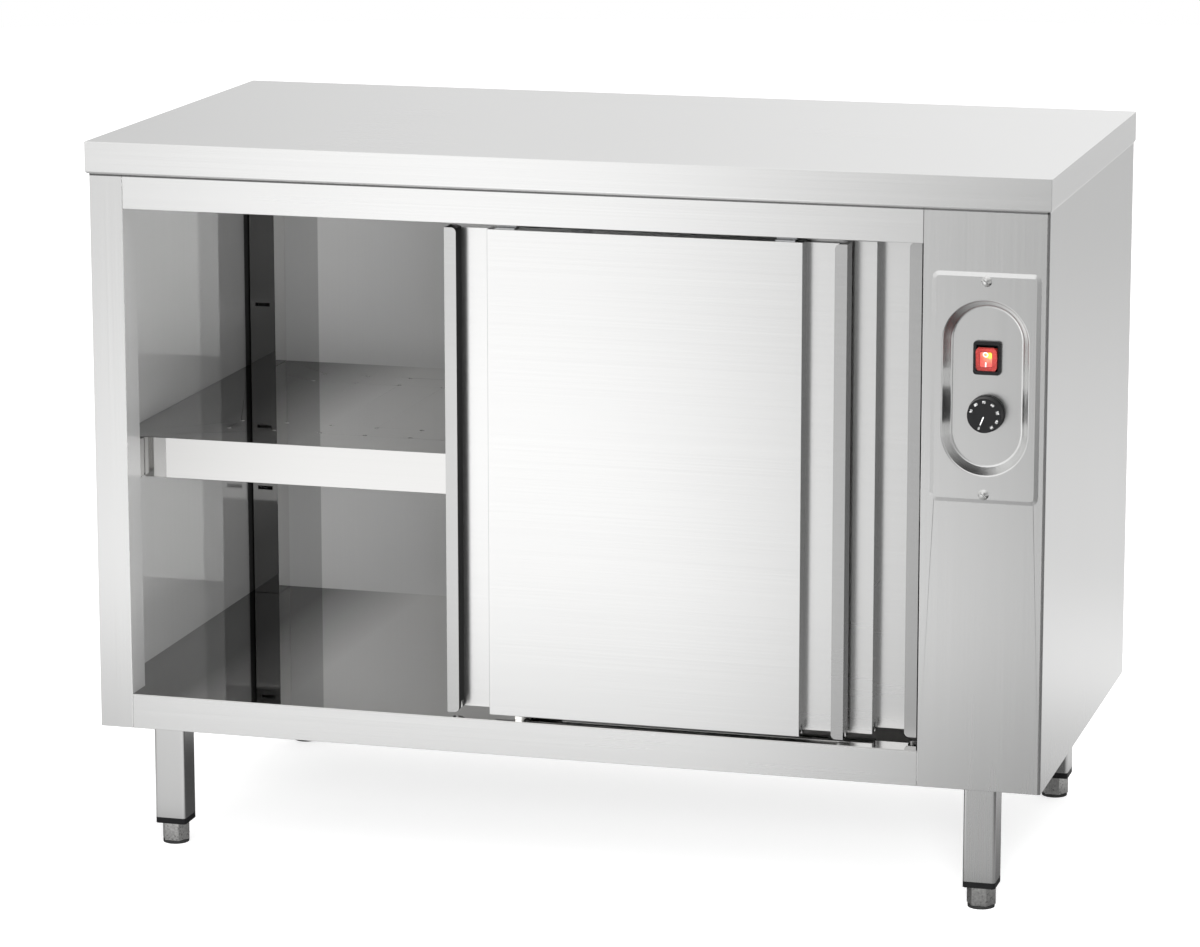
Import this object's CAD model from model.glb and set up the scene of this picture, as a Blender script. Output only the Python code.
"""Plate warmer cabinet: studio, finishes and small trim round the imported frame."""

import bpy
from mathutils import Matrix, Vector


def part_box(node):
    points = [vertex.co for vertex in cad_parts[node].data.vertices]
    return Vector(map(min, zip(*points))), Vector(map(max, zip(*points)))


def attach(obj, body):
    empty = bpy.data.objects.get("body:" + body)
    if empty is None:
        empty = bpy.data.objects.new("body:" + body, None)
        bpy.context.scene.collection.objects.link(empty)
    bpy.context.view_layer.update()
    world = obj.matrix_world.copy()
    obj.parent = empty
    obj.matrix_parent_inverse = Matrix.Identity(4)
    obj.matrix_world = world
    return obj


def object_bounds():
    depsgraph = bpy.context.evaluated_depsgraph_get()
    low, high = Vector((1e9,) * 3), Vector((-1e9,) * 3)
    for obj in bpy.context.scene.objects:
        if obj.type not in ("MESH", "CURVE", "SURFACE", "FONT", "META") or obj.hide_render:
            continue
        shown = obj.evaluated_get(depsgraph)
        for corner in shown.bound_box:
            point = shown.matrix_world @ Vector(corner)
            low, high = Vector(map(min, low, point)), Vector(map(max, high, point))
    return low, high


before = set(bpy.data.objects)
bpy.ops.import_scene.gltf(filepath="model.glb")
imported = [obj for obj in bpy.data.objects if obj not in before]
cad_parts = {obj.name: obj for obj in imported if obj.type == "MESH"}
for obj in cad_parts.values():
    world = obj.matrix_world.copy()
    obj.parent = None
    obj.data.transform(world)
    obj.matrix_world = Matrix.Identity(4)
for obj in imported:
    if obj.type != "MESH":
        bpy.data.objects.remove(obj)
cad_box = [list(corner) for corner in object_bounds()]

import math
from typing import NamedTuple

import bmesh
import bpy
from mathutils import Euler, Matrix, Vector
from mathutils.bvhtree import BVHTree

MM = 0.001
AXIS_X, AXIS_Y, AXIS_Z = 0, 1, 2
# Sides, each an axis and the sign of the direction along it
RIGHTWARD = (AXIS_X, 1)
LEFTWARD = (AXIS_X, -1)
BACKWARD = (AXIS_Y, 1)
FRONTWARD = (AXIS_Y, -1)
UPWARD = (AXIS_Z, 1)


def grey(level):
    return (level, level, level, 1)


def link(thing):
    bpy.context.scene.collection.objects.link(thing)


class Graph:
    """A node tree with short calls for its nodes and links."""

    # Numbers of the Mix node's two inputs and of its output, for each kind of data
    MIX_SOCKETS = {"VECTOR": (4, 5, 1), "RGBA": (6, 7, 2)}
    # Nearly all values of a noise texture lie in this span
    NOISE_SPAN = (0.3, 0.7)
    # A face looks along an axis where its normal reaches further than this along it
    FACING = 0.7

    def __init__(self, owner):
        owner.use_nodes = True
        self.tree = owner.node_tree
        self.tree.nodes.clear()

    def node(self, kind, inputs=None, **settings):
        made = self.tree.nodes.new("ShaderNode" + kind)
        for name, value in settings.items():
            setattr(made, name, value)
        for name, value in (inputs or {}).items():
            self.feed(made.inputs[name], value)
        return made

    def feed(self, socket, value):
        if isinstance(value, bpy.types.NodeSocket):
            self.tree.links.new(value, socket)
        else:
            socket.default_value = value

    def show(self, shader, output="OutputMaterial"):
        self.node(output, {"Surface": shader.outputs[0]})

    def principled(self, inputs):
        self.show(self.node("BsdfPrincipled", inputs))

    def choose(self, factor, first, second):
        """The first shader where the factor is 0, and the second where it is 1."""
        return self.node("MixShader", {0: factor, 1: first.outputs[0], 2: second.outputs[0]})

    # Numbers

    def math(self, operation, first, second=0.0):
        return self.node("Math", {0: first, 1: second}, operation=operation).outputs[0]

    def times(self, first, second):
        return self.math("MULTIPLY", first, second)

    def minus(self, first, second):
        return self.math("SUBTRACT", first, second)

    def larger(self, first, second):
        return self.math("MAXIMUM", first, second)

    def blend(self, first, second, share):
        """A share of the first value, and the rest of the second."""
        return self.math("ADD", self.times(first, share), self.times(second, 1 - share))

    def spread(self, value, low, high, to_low, to_high):
        """The value carried from the span of low to high over to another span."""
        spans = {"From Min": low, "From Max": high, "To Min": to_low, "To Max": to_high}
        return self.node("MapRange", {"Value": value, **spans}).outputs[0]

    def pick(self, mask, outside, inside):
        """One value where the mask is 0, and another where it is 1."""
        return self.spread(mask, 0, 1, outside, inside)

    def noise(self, vector, scale, detail=2.0):
        made = self.node("TexNoise", {"Vector": vector, "Scale": scale, "Detail": detail})
        return made.outputs["Fac"]

    def spread_noise(self, noise, low, high):
        return self.spread(noise, *self.NOISE_SPAN, low, high)

    def uneven(self, noise, middle, share):
        """A value that the noise moves up and down by a share of it."""
        return self.spread_noise(noise, middle * (1 - share), middle * (1 + share))

    # Places and directions

    def place(self):
        """The point, in the object's own coordinates."""
        return self.node("TexCoord").outputs["Object"]

    def parts(self, vector):
        """The X, Y and Z of a vector."""
        return self.node("SeparateXYZ", {0: vector}).outputs

    def joined(self, x, y, z):
        return self.node("CombineXYZ", {0: x, 1: y, 2: z}).outputs[0]

    def flat_normal(self):
        """The X, Y and Z of the face's normal, without smoothing."""
        return self.parts(self.node("NewGeometry").outputs["True Normal"])

    def facing(self, side):
        """1 on faces that look to a side, 0 elsewhere."""
        axis, sign = side
        return self.math("GREATER_THAN", self.times(self.flat_normal()[axis], sign), self.FACING)

    def beyond(self, side, limit):
        """1 where the point lies further to a side than a limit, 0 elsewhere."""
        axis, sign = side
        reach = self.times(self.parts(self.place())[axis], sign)
        return self.math("GREATER_THAN", reach, sign * limit)

    def bump(self, height, strength, depth, normal=None):
        relief = {"Height": height, "Strength": strength, "Distance": depth}
        if normal is not None:
            relief["Normal"] = normal
        return self.node("Bump", relief).outputs[0]

    # Colours

    def mix(self, factor, first, second, kind="RGBA", **settings):
        first_socket, second_socket, result = self.MIX_SOCKETS[kind]
        inputs = {"Factor": factor, first_socket: first, second_socket: second}
        return self.node("Mix", inputs, data_type=kind, **settings).outputs[result]

    def tinted(self, colour, shade):
        """The colour times a grey shade."""
        shades = self.node("CombineColor", {0: shade, 1: shade, 2: shade}).outputs[0]
        return self.mix(1.0, colour, shades, blend_type="MULTIPLY")

    def ramp(self, factor, stops):
        """Smooth grey or colour ramp through (position, value) stops."""
        made = self.node("ValToRGB", {0: factor})
        made.color_ramp.interpolation = "EASE"
        elements = made.color_ramp.elements
        # New stops start halfway, and move to their places below
        while len(elements) < len(stops):
            elements.new(0.5)
        for element, (position, value) in zip(elements, stops):
            element.position = position
            element.color = (*value, 1) if isinstance(value, tuple) else grey(value)
        return made.outputs[0]

    def ramp_over(self, value, span, stops):
        """Ramp whose stops are given in the value's own units."""
        low, high = span
        placed = [((position - low) / (high - low), shade) for position, shade in stops]
        return self.ramp(self.spread(value, low, high, 0, 1), placed)


# Studio. Rays that a surface mirrors see a pattern on the floor and the horizon: bright to
# the left of the front and dark to its right. The camera sees a white room.

# Camera at the photograph's viewing angle
CAMERA_PLACE = Vector((1.52533, -5.57276, 1.69620))
CAMERA_TURN_DEG = (78.612, 0.067, 15.623)
CAMERA_LENS_MM = 139.34
CAMERA_SHIFT = (0.0035, -0.05)

# The horizon in front and behind, by how far a ray goes sideways for each metre along Y
HORIZON_SPAN = (-1.2, 1.2)
HORIZON_GLOW = [
    (-1.0, 0.80), (-0.45, 0.95), (-0.30, 1.40), (-0.22, 0.95), (-0.12, 0.55), (0.2, 0.30),
    (1.0, 0.44),
]
BEHIND_GLOW = [(-0.45, 0.62), (-0.30, 0.80), (-0.15, 0.96), (0.4, 0.85), (1.0, 0.6)]
HORIZON_LEAST_DEPTH = 0.15
HORIZON_TURN = (-0.1, 0.1)
OVERHEAD = 0.95
OVERHEAD_SPAN = (0.35, 0.75)

FLOOR_RADIUS = 9.0
FLOOR_SEGMENTS = 96
FLOOR_WHITE = 0.80
FLOOR_CAMERA_LIFT = 0.52
# The floor in front, by X along slanted lines
FRONT_SLANT = 0.3
FRONT_SPAN = (-2.0, 4.0)
FRONT_GLOW = [
    (-1.6, 0.62), (-1.0, 0.74), (-0.3, 1.25), (0.2, 1.26), (0.8, 0.64), (1.4, 0.34), (2.2, 0.60),
    (4.0, 0.66),
]
# The floor in front, by its distance from the cabinet's middle
NEAR_SPAN = (0.0, 4.5)
NEAR_GLOW = [
    (0.3, 0.50), (0.7, 0.57), (1.0, 0.68), (1.7, 1.06), (2.6, 1.02), (3.5, 1.06), (4.2, 0.88),
]
# A darker band to the right of the front
SHADE_SLANT = 0.17
SHADE_START = (0.7, 1.15)
SHADE_END = (1.7, 2.2)
SHADE_LEVEL = 0.3
# The floor behind, by its distance from the cabinet's middle
BACK_SPAN = (0.0, 6.0)
BACK_GLOW = [(0.0, 0.45), (0.4, 0.66), (0.9, 0.92), (1.6, 0.76), (5.0, 0.58)]
FLOOR_TURN = (-0.2, 0.3)
# The floor is dark under the cabinet, from a little inside its outline
UNDER_INSET = 0.1
UNDER_LEVEL = 0.12
UNDER_CLEARANCE = 0.22

# Name, place, aim, size and watts
LAMPS = [
    ("ceiling_softbox", (0.4, -0.6, 3.6), (0, 0, 0.5), (2.6, 2.0), 34),
    ("room_fill", (-0.75, -3.4, 0.62), (-0.35, 0.3, 0.52), (1.6, 0.9), 32),
    ("wall_fill", (0.75, -1.9, 0.55), (-0.59, -0.05, 0.5), (0.7, 0.9), 42),
]


def make_camera():
    data = bpy.data.cameras.new("camera")
    data.lens = CAMERA_LENS_MM
    data.shift_x, data.shift_y = CAMERA_SHIFT
    camera = bpy.data.objects.new("camera", data)
    camera.location = CAMERA_PLACE
    camera.rotation_euler = Euler([math.radians(turn) for turn in CAMERA_TURN_DEG])
    link(camera)
    bpy.context.scene.camera = camera


def make_world():
    world = bpy.data.worlds.new("studio")
    graph = Graph(world)
    x, y, z = graph.parts(graph.node("TexCoord").outputs["Generated"])
    depth = graph.larger(graph.math("ABSOLUTE", y), HORIZON_LEAST_DEPTH)
    sideways = graph.math("DIVIDE", x, depth)
    front = graph.ramp_over(sideways, HORIZON_SPAN, HORIZON_GLOW)
    behind = graph.ramp_over(sideways, HORIZON_SPAN, BEHIND_GLOW)
    around = graph.mix(graph.spread(y, *HORIZON_TURN, 0, 1), front, behind)
    glow = graph.mix(graph.spread(z, *OVERHEAD_SPAN, 0, 1), around, grey(OVERHEAD))
    mirrored = graph.node("Background", {"Color": glow, "Strength": 1.0})
    seen = graph.node("Background", {"Color": grey(1), "Strength": 1.0})
    glossy_ray = graph.node("LightPath").outputs["Is Glossy Ray"]
    graph.show(graph.choose(glossy_ray, seen, mirrored), "OutputWorld")
    bpy.context.scene.world = world


def floor_glow(graph, x, y):
    """Pattern on the floor that only mirrored rays see."""
    slanted = graph.minus(x, graph.times(y, FRONT_SLANT))
    front = graph.ramp_over(slanted, FRONT_SPAN, FRONT_GLOW)
    near = graph.ramp_over(graph.times(y, -1.0), NEAR_SPAN, NEAR_GLOW)
    across = graph.minus(x, graph.times(y, SHADE_SLANT))
    shaded = graph.larger(
        graph.spread(across, *SHADE_START, 1, SHADE_LEVEL),
        graph.spread(across, *SHADE_END, SHADE_LEVEL, 1),
    )
    front = graph.tinted(front, graph.times(near, shaded))
    behind = graph.ramp_over(y, BACK_SPAN, BACK_GLOW)
    return graph.mix(graph.spread(y, *FLOOR_TURN, 0, 1), front, behind)


def floor_strength(graph, x, y):
    """Dark under the cabinet, and full a little outside its outline."""
    past_side, past_front = (
        graph.minus(graph.math("ABSOLUTE", part), half_size - UNDER_INSET)
        for part, half_size in ((x, cad_box[1][AXIS_X]), (y, cad_box[1][AXIS_Y]))
    )
    outside = graph.larger(past_side, past_front)
    return graph.spread(outside, 0, UNDER_CLEARANCE, UNDER_LEVEL, 1)


def make_floor():
    shape = bmesh.new()
    bmesh.ops.create_circle(shape, cap_ends=True, segments=FLOOR_SEGMENTS, radius=FLOOR_RADIUS)
    mesh = mesh_of(shape, "floor")
    floor = bpy.data.objects.new("floor", mesh)
    floor.location = (0, 0, cad_box[0][AXIS_Z])
    link(floor)
    material = bpy.data.materials.new("floor_paper")
    graph = Graph(material)
    path = graph.node("LightPath").outputs
    x, y, _ = graph.parts(graph.place())
    paper = graph.node("BsdfDiffuse", {"Color": grey(FLOOR_WHITE)})
    lift = graph.node("Emission", {"Strength": FLOOR_CAMERA_LIFT})
    lit = graph.node("AddShader", {0: paper.outputs[0], 1: lift.outputs[0]})
    seen = graph.choose(path["Is Camera Ray"], paper, lit)
    glow = {"Color": floor_glow(graph, x, y), "Strength": floor_strength(graph, x, y)}
    mirrored = graph.node("Emission", glow)
    graph.show(graph.choose(path["Is Glossy Ray"], seen, mirrored))
    mesh.materials.append(material)


def make_lights():
    for name, place, aim, size, watts in LAMPS:
        data = bpy.data.lights.new(name, "AREA")
        data.shape = "RECTANGLE"
        data.size, data.size_y = size
        data.energy = watts
        lamp = bpy.data.objects.new(name, data)
        lamp.location = place
        lamp.rotation_euler = (Vector(aim) - Vector(place)).to_track_quat("-Z", "Y").to_euler()
        lamp.visible_camera = False
        lamp.visible_glossy = False
        link(lamp)


# Steel
STEEL = (0.85, 0.85, 0.845)
INNER = (0.84, 0.835, 0.825)
BACK = (0.62, 0.62, 0.615)
HIDDEN = (0.60, 0.61, 0.62)
OUTER_ROUGHNESS = 0.26
OUTER_STREAK_DEPTH = 0.012 * MM
MIRROR_ROUGHNESS = 0.03
INNER_STREAK_DEPTH = 0.0006 * MM
INNER_CONTRAST = 0.01
WALL_METALLIC = 0.67
# Scales of the streaks, the broader bands and the clouds, and what share each has
STREAKS_ALONG = 2.2
STREAKS_ACROSS = 900.0
BANDS_ACROSS = 160.0
CLOUD_SCALE = 2.3
STREAK_SHARE = 0.7
BAND_SHARE = 0.4
POLISH_CHANGE = 0.08
STREAK_STRENGTH = 0.5
# Across the brushing, for each axis of it, and a little askew so that no face lies square to it
TANGENTS = [(0.01, 0.02, 1.0), (1.0, 0.01, 0.02), (1.0, 0.02, 0.01)]
# Steel that is darker than this is dull too, as the inside of a seam is
DULL_BELOW = 0.2
DULL_ROUGHNESS = 0.9
# How far a bevel past calm_right takes the normal of the front
CALM_SHARE = 0.7


class Zone(NamedTuple):
    """Darker part of a sheet: faces to one side, what lies past a limit, or both at once.

    facing is a side, and past is a side with the limit that the zone starts from.
    """

    shade: float
    facing: tuple = None
    past: tuple = None

    def mask(self, graph):
        """1 inside the zone, 0 outside it."""
        if self.past is None:
            return graph.facing(self.facing)
        inside = graph.beyond(*self.past)
        if self.facing is None:
            return inside
        return graph.times(inside, graph.facing(self.facing))


def sheet_coordinates(graph, axis):
    """Coordinates with the brushing along the first axis, also on faces that look along it."""
    parts = graph.parts(graph.place())
    turned = graph.math(
        "GREATER_THAN", graph.math("ABSOLUTE", graph.flat_normal()[axis]), graph.FACING
    )
    other, last = [number for number in (AXIS_Y, AXIS_Z, AXIS_X) if number != axis]
    straight = graph.joined(parts[axis], parts[other], parts[last])
    aside = graph.joined(parts[other], parts[axis], parts[last])
    return graph.mix(turned, straight, aside, "VECTOR")


def streaks(graph, coordinates, across, detail):
    stretched = {"Vector": coordinates, "Scale": (STREAKS_ALONG, across, across)}
    return graph.noise(graph.node("Mapping", stretched).outputs[0], 1.0, detail)


def calmed_normal(graph, calm_right):
    """The smooth normal, turned most of the way to the front past a limit."""
    share = graph.times(graph.beyond(RIGHTWARD, calm_right), CALM_SHARE)
    smooth = graph.node("NewGeometry").outputs["Normal"]
    turned = graph.mix(share, smooth, (0, -1, 0), "VECTOR")
    return graph.node("VectorMath", {0: turned}, operation="NORMALIZE").outputs[0]


def brushed_steel(
    name,
    axis,
    colour,
    roughness,
    streak_depth,
    anisotropy=0.6,
    contrast=0.02,
    metallic=1.0,
    mirror=None,
    zones=(),
    left_fade=None,
    calm_right=None,
):
    """Sheet steel brushed along one axis.

    mirror is the side whose faces are polished and how metallic they are. zones are the
    sheet's darker parts. left_fade is the span of X over which upward faces fade to their
    darker left end, and the shade there. calm_right is the X past which a bevel is seen as
    nearly flat with the front.
    """
    material = bpy.data.materials.new(name)
    graph = Graph(material)
    place = graph.place()
    coordinates = sheet_coordinates(graph, axis)
    fine = streaks(graph, coordinates, STREAKS_ACROSS, 2.0)
    broad = streaks(graph, coordinates, BANDS_ACROSS, 3.0)
    cloud = graph.noise(place, CLOUD_SCALE)
    shade = graph.uneven(graph.blend(fine, broad, STREAK_SHARE), 1, contrast)
    polish = graph.uneven(graph.blend(broad, cloud, BAND_SHARE), roughness, POLISH_CHANGE)
    if mirror:
        side, mirror_metallic = mirror
        polished = graph.facing(side)
        polish = graph.times(polish, graph.pick(polished, 1, MIRROR_ROUGHNESS / roughness))
        anisotropy = graph.pick(polished, anisotropy, 0)
        metallic = graph.pick(polished, metallic, mirror_metallic)
    for zone in zones:
        inside = zone.mask(graph)
        shade = graph.times(shade, graph.pick(inside, 1, zone.shade))
        if zone.shade < DULL_BELOW:
            metallic = graph.pick(inside, metallic, 0)
            polish = graph.larger(polish, graph.times(inside, DULL_ROUGHNESS))
    if left_fade:
        start, end, dark = left_fade
        faded = graph.spread(graph.parts(place)[AXIS_X], start, end, dark, 1)
        not_upward = graph.minus(1.0, graph.facing(UPWARD))
        shade = graph.times(shade, graph.larger(faded, not_upward))
    normal = calmed_normal(graph, calm_right) if calm_right else None
    graph.principled(
        {
            "Base Color": graph.tinted((*colour, 1), shade),
            "Metallic": metallic,
            "Roughness": polish,
            "Anisotropic": anisotropy,
            "Tangent": graph.joined(*TANGENTS[axis]),
            "Normal": graph.bump(fine, STREAK_STRENGTH, streak_depth, normal),
        }
    )
    return material


def outer_steel(name, axis, **extras):
    return brushed_steel(name, axis, STEEL, OUTER_ROUGHNESS, OUTER_STREAK_DEPTH, **extras)


def inner_steel(name, axis, **extras):
    plain = {"anisotropy": 0.0, "contrast": INNER_CONTRAST}
    return brushed_steel(
        name, axis, INNER, MIRROR_ROUGHNESS, INNER_STREAK_DEPTH, **plain, **extras
    )


# Other finishes
SKIN_STRENGTH = 0.4
PEBBLE_DEPTH = 0.04 * MM
PATCH_SCALE = 60.0
PATCH_CHANGE = 0.1
MOTTLE_SCALE = 350.0
MOTTLE_CHANGE = 0.2
TOOL_MARK_PITCH = 0.7 * MM
TOOL_MARK_SHARE = 0.3
TOOL_MARK_DEPTH = 0.05 * MM
GRAIN_SCALE = 400.0
GRAIN_HEAT = 0.04
RED_ROUGHNESS = (0.2, 0.3)


def moulded(name, colour, roughness, pebble_size=0.6 * MM, specular=0.5):
    """Moulded plastic, rubber, nylon or enamel: a fine pebbled skin with a little unevenness."""
    material = bpy.data.materials.new(name)
    graph = Graph(material)
    place = graph.place()
    pebbles = graph.noise(place, 1 / pebble_size)
    patches = graph.noise(place, PATCH_SCALE, detail=3.0)
    graph.principled(
        {
            "Base Color": graph.tinted((*colour, 1), graph.uneven(patches, 1, PATCH_CHANGE)),
            "Roughness": graph.uneven(patches, roughness, PATCH_CHANGE),
            "Specular IOR Level": specular,
            "Normal": graph.bump(pebbles, SKIN_STRENGTH, PEBBLE_DEPTH),
        }
    )
    return material


def turned_metal(name, colour, roughness, axis):
    """Machined metal with fine rings of tool marks round one axis."""
    material = bpy.data.materials.new(name)
    graph = Graph(material)
    place = graph.place()
    mottle = graph.noise(place, MOTTLE_SCALE, detail=4.0)
    along = graph.times(graph.parts(place)[axis], 2 * math.pi / TOOL_MARK_PITCH)
    marks = graph.times(graph.math("SINE", along), TOOL_MARK_SHARE)
    height = graph.math("ADD", marks, mottle)
    graph.principled(
        {
            "Base Color": graph.tinted((*colour, 1), graph.uneven(mottle, 1, MOTTLE_CHANGE)),
            "Metallic": 1.0,
            "Roughness": graph.uneven(mottle, roughness, MOTTLE_CHANGE),
            "Normal": graph.bump(height, SKIN_STRENGTH, TOOL_MARK_DEPTH),
        }
    )
    return material


def glowing_red(name, hot_spot, reach, shades, strength):
    """Clear red plastic, lit from behind round one point and darker towards its edges."""
    material = bpy.data.materials.new(name)
    graph = Graph(material)
    place = graph.place()
    away = graph.node("VectorMath", {0: place, 1: hot_spot}, operation="DISTANCE")
    warmth = graph.spread(away.outputs["Value"], 0.0, reach, 1.0, 0.0)
    grain = graph.noise(place, GRAIN_SCALE)
    heat = graph.math("ADD", warmth, graph.spread_noise(grain, -GRAIN_HEAT, GRAIN_HEAT))
    colour = graph.ramp(heat, shades)
    graph.principled(
        {
            "Base Color": colour,
            "Roughness": graph.spread_noise(grain, *RED_ROUGHNESS),
            "Emission Color": colour,
            "Emission Strength": strength,
        }
    )
    return material


# The darker parts of the sheets
LIP_SHADE = 0.68
DOOR_SIDE_SHADE = 0.30
PANEL_SIDE_SHADE = 0.42
FLANGE_SHADE = 0.82
POST_SHADE = 0.24
WALL_BAND_SHADE = 0.62
SEAM_SHADE = 0.07
GROOVE_SHADE = 0.03
# The lips' faces lie within this depth of the door's front
LIP_DEPTH = 2 * MM
# The groove beside the left lip ends this far from the door's left end
GROOVE_END = 30 * MM
WORKTOP_SEAM = 3 * MM
COLUMN_SEAM = 2.2 * MM
# The darker band on the back wall ends this far to the right of the post
WALL_BAND_REACH = 46 * MM
# The left panel is dark behind the post, from this far in front of it
POST_GAP = 8 * MM
# Width of the control plate's pressed rim
PLATE_RIM = 6.5 * MM
# Where the fade ends and starts, and the shade at its end
LEFT_FADE = (-0.50, -0.36, 0.10)

POST_LOW, POST_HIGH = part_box("rear_left_post")
UNDER_WORKTOP = Zone(SEAM_SHADE, past=(UPWARD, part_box("worktop")[0].z - WORKTOP_SEAM))
COLUMN_EDGE = Zone(SEAM_SHADE, past=(RIGHTWARD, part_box("column_front")[1].x - COLUMN_SEAM))
BESIDE_POST = Zone(
    WALL_BAND_SHADE, facing=FRONTWARD, past=(LEFTWARD, POST_HIGH.x + WALL_BAND_REACH)
)
BEHIND_POST = Zone(GROOVE_SHADE, facing=RIGHTWARD, past=(BACKWARD, POST_LOW.y - POST_GAP))


def door_zones(door):
    """Darker lips and right-hand sides, and a black groove beside the left lip."""
    low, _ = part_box(door + "_frame")
    return [
        Zone(LIP_SHADE, past=(FRONTWARD, low.y + LIP_DEPTH)),
        Zone(GROOVE_SHADE, facing=RIGHTWARD, past=(LEFTWARD, low.x + GROOVE_END)),
        Zone(DOOR_SIDE_SHADE, facing=RIGHTWARD),
    ]


FINISH = {
    "outer_x": outer_steel("outer_steel_x", AXIS_X),
    "outer_z": outer_steel("outer_steel_z", AXIS_Z),
    "header": outer_steel("header_steel", AXIS_X, zones=[UNDER_WORKTOP]),
    "column": outer_steel("column_steel", AXIS_Z, zones=[UNDER_WORKTOP, COLUMN_EDGE]),
    "left_side": outer_steel(
        "left_side_steel",
        AXIS_Z,
        mirror=(RIGHTWARD, WALL_METALLIC),
        zones=[BEHIND_POST, UNDER_WORKTOP],
    ),
    "right_side": outer_steel(
        "right_side_steel", AXIS_Z, zones=[Zone(SEAM_SHADE, facing=FRONTWARD)]
    ),
    "front_lips": outer_steel("front_door_steel", AXIS_X, zones=door_zones("front_door")),
    "rear_lips": outer_steel("rear_door_steel", AXIS_X, zones=door_zones("rear_door")),
    "door_sheet": outer_steel(
        "door_panel_steel", AXIS_X, zones=[Zone(PANEL_SIDE_SHADE, facing=RIGHTWARD)]
    ),
    "plate": outer_steel(
        "plate_steel", AXIS_Z, calm_right=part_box("control_plate")[1].x - PLATE_RIM
    ),
    "inner_x": inner_steel("inner_steel_x", AXIS_X),
    "inner_z": inner_steel("inner_steel_z", AXIS_Z),
    "shelf": inner_steel(
        "shelf_steel", AXIS_X, zones=[Zone(FLANGE_SHADE, facing=FRONTWARD)], left_fade=LEFT_FADE
    ),
    "floor_sheet": inner_steel("floor_steel", AXIS_X, left_fade=LEFT_FADE),
    "post": inner_steel("post_steel", AXIS_Z, zones=[Zone(POST_SHADE, facing=FRONTWARD)]),
    "back": brushed_steel(
        "back_steel",
        AXIS_Z,
        BACK,
        roughness=0.5,
        streak_depth=0.01 * MM,
        anisotropy=0.0,
        contrast=INNER_CONTRAST,
        metallic=0.25,
        zones=[BESIDE_POST],
    ),
    "hidden": brushed_steel(
        "plain_steel", AXIS_X, HIDDEN, roughness=0.38, streak_depth=0.04 * MM
    ),
    # Name, colour and roughness
    "turned": turned_metal("turned_steel", (0.76, 0.755, 0.74), 0.32, AXIS_Z),
    "screw": turned_metal("screw_steel", (0.78, 0.78, 0.77), 0.25, AXIS_Y),
    "heater": turned_metal("heater_steel", (0.28, 0.25, 0.22), 0.45, AXIS_Y),
    "copper": turned_metal("copper_tube", (0.72, 0.40, 0.26), 0.28, AXIS_Z),
    "black_plastic": moulded("black_plastic", (0.006, 0.006, 0.0065), 0.42, specular=0.25),
    "nylon": moulded("white_nylon", (0.80, 0.80, 0.77), 0.45),
    "rubber": moulded("black_rubber", (0.018, 0.018, 0.018), 0.62),
    "motor": moulded("motor_enamel", (0.16, 0.17, 0.18), 0.42, pebble_size=2 * MM),
    "ceramic": moulded("ivory_thermoset", (0.74, 0.70, 0.60), 0.4),
    "print": moulded("white_print", (0.85, 0.85, 0.85), 0.5),
    "dark_red": moulded("dark_red_edge", (0.10, 0.012, 0.012), 0.3),
}

# Finish of each of the record's material slots
SLOT_FINISH = {
    "brushed_steel_outer": "outer_x",
    "polished_steel_inner": "inner_x",
    "plain_steel_hidden": "hidden",
    "turned_steel": "turned",
    "black_plastic": "black_plastic",
    "white_nylon": "nylon",
    "black_rubber": "rubber",
    "red_lens": "black_plastic",
    "heater_steel": "heater",
    "motor_paint": "motor",
    "copper_tube": "copper",
    "ceramic_block": "ceramic",
}

# Nodes whose finish isn't that of their slot
NODE_FINISH = {
    "left_side_panel": "left_side",
    "right_side_panel": "right_side",
    "header_rail": "header",
    "column_front": "column",
    "control_plate": "plate",
    "front_door_frame": "front_lips",
    "rear_door_frame": "rear_lips",
    "front_door_panel": "door_sheet",
    "rear_door_panel": "door_sheet",
    "shelf": "shelf",
    "floor_panel": "floor_sheet",
    "rear_left_post": "post",
    "rear_right_post": "post",
    "partition_panel": "inner_z",
    "plate_screws": "screw",
    "back_panel": "back",
}
for node_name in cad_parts:
    if node_name.startswith("leg_") and not node_name.startswith("leg_cap_"):
        NODE_FINISH[node_name] = "outer_z"


def dress_nodes():
    for name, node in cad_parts.items():
        slots = node.material_slots
        finish = NODE_FINISH.get(name) or SLOT_FINISH[slots[0].material.name.split(".")[0]]
        slots[0].material = FINISH[finish]


# Widths of the bevels on edges and bends that the plain solids leave sharp
EDGE_MM = {
    "worktop": 0.7,
    "left_side_panel": 0.6,
    "right_side_panel": 0.6,
    "column_front": 0.6,
    "header_rail": 0.6,
    "bottom_rail": 0.6,
    "front_door_frame": 0.6,
    "front_door_panel": 0.7,
    "rear_door_frame": 0.6,
    "rear_door_panel": 0.7,
    "shelf": 0.5,
    "rear_left_post": 0.5,
    "rear_right_post": 0.5,
    "control_plate": 0.4,
    "switch_housing": 1.0,
    "switch_rocker": 1.4,
    "control_knob": 0.9,
    "door_guide": 0.4,
}
for node_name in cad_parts:
    if node_name.startswith(("foot_", "leg_cap_")):
        EDGE_MM[node_name] = 0.6
EDGE_TURN_DEG = 35
EDGE_SEGMENTS = 3
WELD_GAP = 0.002 * MM


def soften_edges():
    for name, width in EDGE_MM.items():
        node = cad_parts[name]
        weld = node.modifiers.new("weld", "WELD")
        weld.merge_threshold = WELD_GAP
        bevel = node.modifiers.new("bevel", "BEVEL")
        bevel.width = width * MM
        bevel.segments = EDGE_SEGMENTS
        bevel.limit_method = "ANGLE"
        bevel.angle_limit = math.radians(EDGE_TURN_DEG)
        normals = node.modifiers.new("normals", "WEIGHTED_NORMAL")
        normals.keep_sharp = True


# Meshes of the trim
CORNER_STEPS = 6
RING_STEPS = 40
DRAPE_ROWS = 24
RAY_START = cad_box[0][AXIS_Y] - 0.1


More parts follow.
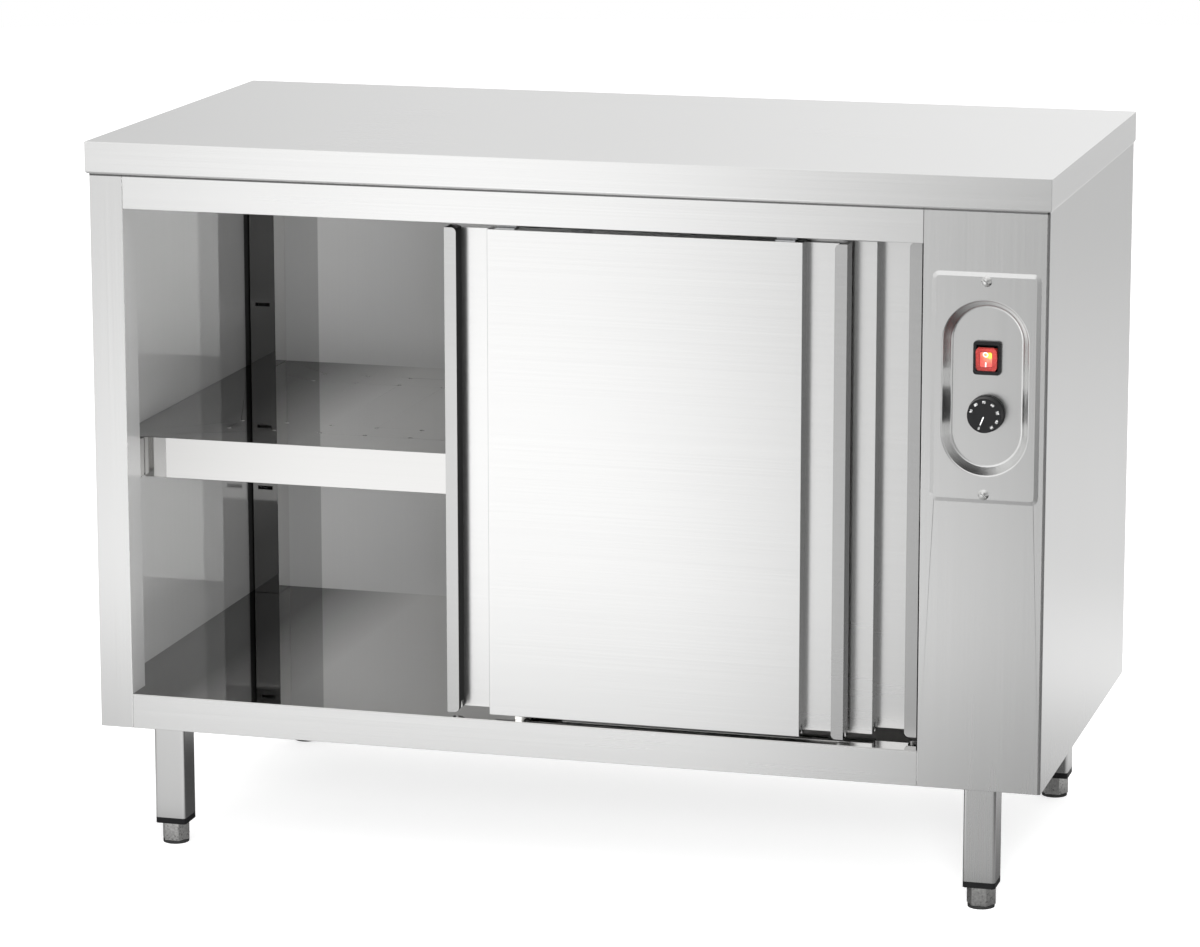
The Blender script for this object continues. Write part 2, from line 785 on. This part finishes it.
def mesh_of(shape, name):
    mesh = bpy.data.meshes.new(name)
    shape.to_mesh(mesh)
    shape.free()
    return mesh


def solid_of(shape, name):
    bmesh.ops.recalc_face_normals(shape, faces=shape.faces)
    return mesh_of(shape, name)


def bridge(shape, first, second):
    """Faces between two closed rings of as many vertices each."""
    for here in range(len(first)):
        after = (here + 1) % len(first)
        shape.faces.new((first[here], first[after], second[after], second[here]))


def lofted(shape, rings, name):
    """Mesh through rings of vertices, closed at its first and last ring."""
    for first, second in zip(rings, rings[1:]):
        bridge(shape, first, second)
    shape.faces.new(rings[0])
    shape.faces.new(rings[-1])
    return solid_of(shape, name)


def digits_mesh(text):
    curve = bpy.data.curves.new("digits", "FONT")
    curve.body = text
    curve.size = DIGIT_HEIGHT
    curve.align_x = curve.align_y = "CENTER"
    curve.extrude = PRINT_DEPTH / 2
    curve.offset = DIGIT_BOLD
    holder = bpy.data.objects.new("digits", curve)
    link(holder)
    bpy.context.view_layer.update()
    evaluated = holder.evaluated_get(bpy.context.evaluated_depsgraph_get())
    mesh = bpy.data.meshes.new_from_object(evaluated)
    bpy.data.objects.remove(holder)
    bpy.data.curves.remove(curve)
    return mesh


def slab_mesh(outline, depth):
    """A flat closed outline in XY, given some depth along Z about its middle."""
    shape = bmesh.new()
    rings = [[shape.verts.new((x, y, z)) for x, y in outline] for z in (-depth / 2, depth / 2)]
    return lofted(shape, rings, "slab")


def rounded_outline(width, height, radius):
    points = []
    for quarter, (side_x, side_y) in enumerate([(1, 1), (-1, 1), (-1, -1), (1, -1)]):
        for step in range(CORNER_STEPS + 1):
            turn = math.radians(90 * (quarter + step / CORNER_STEPS))
            x = side_x * (width / 2 - radius) + radius * math.cos(turn)
            y = side_y * (height / 2 - radius) + radius * math.sin(turn)
            points.append((x, y))
    return points


def ring_mesh(radius, thickness, depth):
    shape = bmesh.new()
    rings = []
    for inset, level in ((0, -1), (0, 1), (thickness, 1), (thickness, -1)):
        ring = []
        for step in range(RING_STEPS):
            turn = 2 * math.pi * step / RING_STEPS
            x, y = (radius - inset) * math.cos(turn), (radius - inset) * math.sin(turn)
            ring.append(shape.verts.new((x, y, level * depth / 2)))
        rings.append(ring)
    for first, second in zip(rings, rings[1:] + rings[:1]):
        bridge(shape, first, second)
    return solid_of(shape, "ring")


def surface_reader(node):
    """Function that gives the point and outward normal of a node's front at (x, z)."""
    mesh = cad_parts[node].data
    tree = BVHTree.FromPolygons(
        [vertex.co for vertex in mesh.vertices], [list(face.vertices) for face in mesh.polygons]
    )

    def read(x, z):
        point, normal, _, _ = tree.ray_cast(Vector((x, RAY_START, z)), Vector((0, 1, 0)))
        return point, normal if normal.y < 0 else -normal

    return read


def draped_mesh(read, middle, width, height, radius, lift):
    """A round-cornered patch laid on a surface, sunk a little into it and lifted a little."""
    shape = bmesh.new()
    levels = []
    for row in range(DRAPE_ROWS + 1):
        up = height * (row / DRAPE_ROWS - 0.5)
        past = max(0.0, abs(up) - (height / 2 - radius))
        half = width / 2 - radius + math.sqrt(max(radius * radius - past * past, 0.0))
        level = []
        for side, rise in ((-1, -1), (1, -1), (1, 1), (-1, 1)):
            point, normal = read(middle[0] + side * half, middle[1] + up)
            level.append(shape.verts.new(point + normal * lift * rise))
        levels.append(level)
    return lofted(shape, levels, "patch")


def facing_front(place, turn_deg):
    """Matrix that stands a flat XY shape upright, looking along -Y, turned about the view."""
    upright = Matrix.Rotation(math.radians(90), 4, "X")
    return Matrix.Translation(place) @ upright @ Matrix.Rotation(math.radians(turn_deg), 4, "Z")


def on_surface(point, normal):
    """Matrix that lays a flat XY shape on a surface, its own Y axis as upright as it can be."""
    right = Vector((1, 0, 0))
    up = normal.cross(right).normalized()
    turn = Matrix((right, up, normal)).transposed().to_4x4()
    return Matrix.Translation(point) @ turn


def place_piece(name, mesh, matrix, body, finish):
    mesh.name = name
    mesh.transform(matrix)
    mesh.materials.clear()
    mesh.materials.append(FINISH[finish])
    piece = bpy.data.objects.new(name, mesh)
    link(piece)
    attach(piece, body)


# Dial: the angle of each number, counter-clockwise from the right as seen from the front
DIAL_DEG = {
    "0": -112, "30": -54.7, "40": -22, "50": 15, "60": 53.7, "70": 92, "80": 128, "90": 162,
}
DIGIT_HEIGHT = 4.4 * MM
DIGIT_RADIUS = 16.2 * MM
DIGIT_BOLD = -0.07 * MM
PRINT_DEPTH = 0.08 * MM
POINTER_START = 1.5 * MM
POINTER_END = 12.2 * MM
POINTER_HALF_WIDTH = 0.45 * MM


def place_print(name, mesh, place, angle_deg):
    """Print on the knob's front, its top turned outward at an angle of the dial."""
    matrix = facing_front(place, angle_deg - 90)
    place_piece(name, mesh, matrix, "knob", "print")


def make_dial_print():
    low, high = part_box("control_knob")
    middle = Vector(((low.x + high.x) / 2, low.y - PRINT_DEPTH / 2, (low.z + high.z) / 2))
    for text, angle in DIAL_DEG.items():
        turn = math.radians(angle)
        place = middle + DIGIT_RADIUS * Vector((math.cos(turn), 0, math.sin(turn)))
        place_print(f"dial_number_{text}", digits_mesh(text), place, angle)
    line = [
        (-POINTER_HALF_WIDTH, POINTER_START),
        (POINTER_HALF_WIDTH, POINTER_START),
        (POINTER_HALF_WIDTH, POINTER_END),
        (-POINTER_HALF_WIDTH, POINTER_END),
    ]
    place_print("dial_pointer_line", slab_mesh(line, PRINT_DEPTH), middle, DIAL_DEG["0"])


# Switch: colours from the far edge of the glow to its hot spot, and how far that spot lies
# to the right of and above the rocker's middle
HOOD_SHADES = [
    (0.0, (0.10, 0.006, 0.005)),
    (0.5, (0.22, 0.018, 0.015)),
    (1.0, (0.34, 0.035, 0.028)),
]
LENS_SHADES = [
    (0.0, (0.62, 0.045, 0.035)),
    (0.5, (0.80, 0.10, 0.06)),
    (0.8, (0.90, 0.34, 0.04)),
    (1.0, (0.98, 0.80, 0.03)),
]
HOT_SPOT = (4.5 * MM, 6.0 * MM)
HOOD_REACH = 30 * MM
HOOD_STRENGTH = 0.03
LENS_REACH = 13 * MM
LENS_STRENGTH = 0.75
LENS_SIZE = (14.0 * MM, 17.6 * MM)
LENS_CORNER = 1.6 * MM
# Piece, how much larger than the lens it is, how far it stands proud, and its finish
LENS_LAYERS = [
    ("switch_lens_edge", 1.8 * MM, 0.12 * MM, "dark_red"),
    ("switch_lens", 0.0, 0.2 * MM, "lit_lens"),
]
MARK_ASIDE = -0.6 * MM
MARK_DEPTH = 0.6 * MM
RING_UP = 6.0 * MM
RING_RADIUS = 3.1 * MM
RING_WIDTH = 1.0 * MM
BAR_UP = -6.3 * MM
BAR_SIZE = (1.3 * MM, 5.4 * MM)
BAR_CORNER = 0.4 * MM


def make_switch_trim():
    low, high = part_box("switch_rocker")
    read = surface_reader("switch_rocker")
    middle = ((low.x + high.x) / 2, (low.z + high.z) / 2)
    hot_spot, _ = read(middle[0] + HOT_SPOT[0], middle[1] + HOT_SPOT[1])
    hood = glowing_red("red_hood", hot_spot, HOOD_REACH, HOOD_SHADES, HOOD_STRENGTH)
    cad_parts["switch_rocker"].material_slots[0].material = hood
    FINISH["lit_lens"] = glowing_red("lit_lens", hot_spot, LENS_REACH, LENS_SHADES, LENS_STRENGTH)
    for name, grow, lift, finish in LENS_LAYERS:
        width, height = LENS_SIZE[0] + grow, LENS_SIZE[1] + grow
        mesh = draped_mesh(read, middle, width, height, LENS_CORNER, lift)
        place_piece(name, mesh, Matrix.Identity(4), "rocker", finish)
    ring = ring_mesh(RING_RADIUS, RING_WIDTH, MARK_DEPTH)
    bar = slab_mesh(rounded_outline(*BAR_SIZE, BAR_CORNER), MARK_DEPTH)
    for name, mesh, up in (("switch_ring_mark", ring, RING_UP), ("switch_bar_mark", bar, BAR_UP)):
        point, normal = read(middle[0] + MARK_ASIDE, middle[1] + up)
        place_piece(name, mesh, on_surface(point, normal), "rocker", "print")


bpy.context.scene.view_settings.view_transform = "Standard"
make_camera()
make_world()
make_floor()
make_lights()
dress_nodes()
soften_edges()
make_dial_print()
make_switch_trim()
